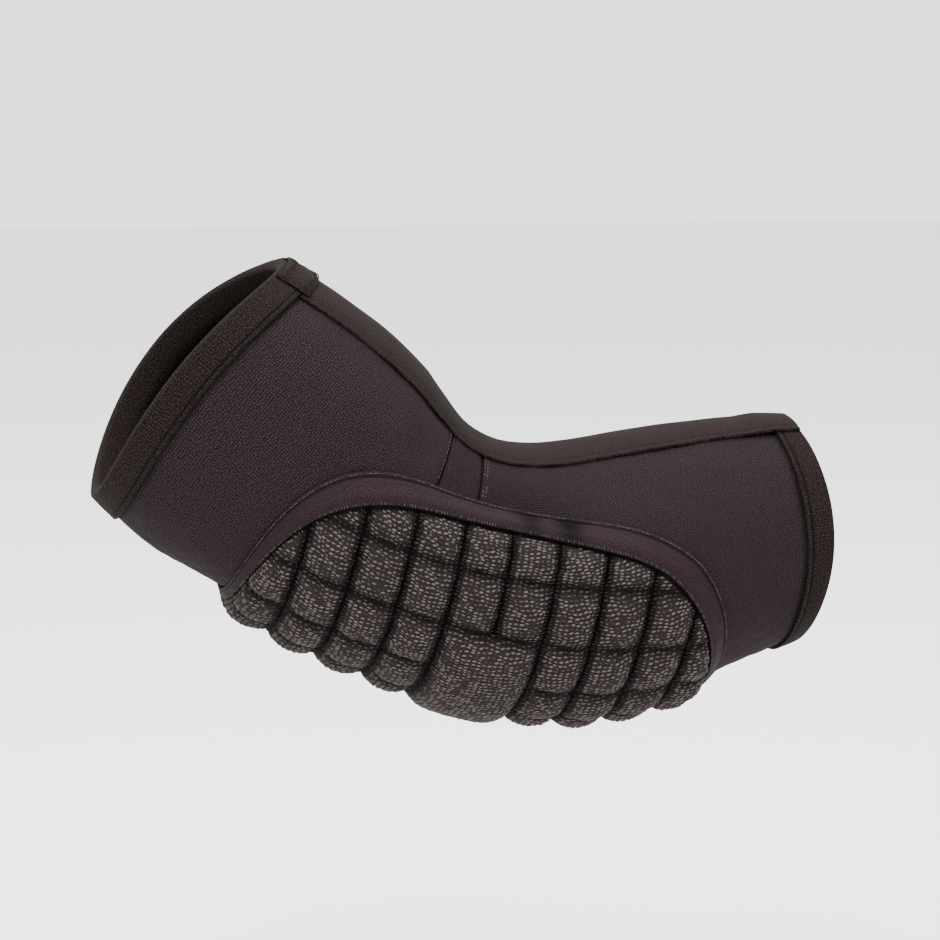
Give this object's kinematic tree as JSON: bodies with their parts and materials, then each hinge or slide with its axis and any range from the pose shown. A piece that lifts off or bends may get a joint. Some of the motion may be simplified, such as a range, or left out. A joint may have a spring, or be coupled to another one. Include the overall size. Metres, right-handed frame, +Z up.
{
  "type": "elbow brace",
  "caption": "Bent knitted sleeve for the elbow, open at both ends, with a quilted oval pad over the elbow's point, hem bands and a strip along the inner arm.",
  "frame": {"origin": "on the arm's centreline at the middle of the elbow's bend", "axes": "+X towards the forearm, +Z up with the inner elbow on top and the elbow's point below, +Y to the side"},
  "size_m": [0.2486, 0.109, 0.1648],
  "materials": {
    "sleeve_knit": "charcoal twill-faced stretch knit, matte",
    "insert_rib": "fine ribbed stretch knit, matte",
    "hem_knit": "dark ribbed band, matte",
    "strip_knit": "soft brushed knit, slightly brown",
    "border_cloth": "smooth bonded cloth with a slight sheen",
    "pad_knit": "coarse marled knit, light flecks on dark brown"
  },
  "bodies": {
    "root": {"sleeve_upper_panel": "sleeve_knit", "elbow_insert_panel": "insert_rib", "sleeve_forearm_panel": "sleeve_knit", "upper_hem_band": "hem_knit", "forearm_hem_band": "hem_knit", "front_strip": "strip_knit", "hem_overlap_tab": "hem_knit", "pad_border": "border_cloth", "quilted_pad": "pad_knit"}
  },
  "joints": []
}
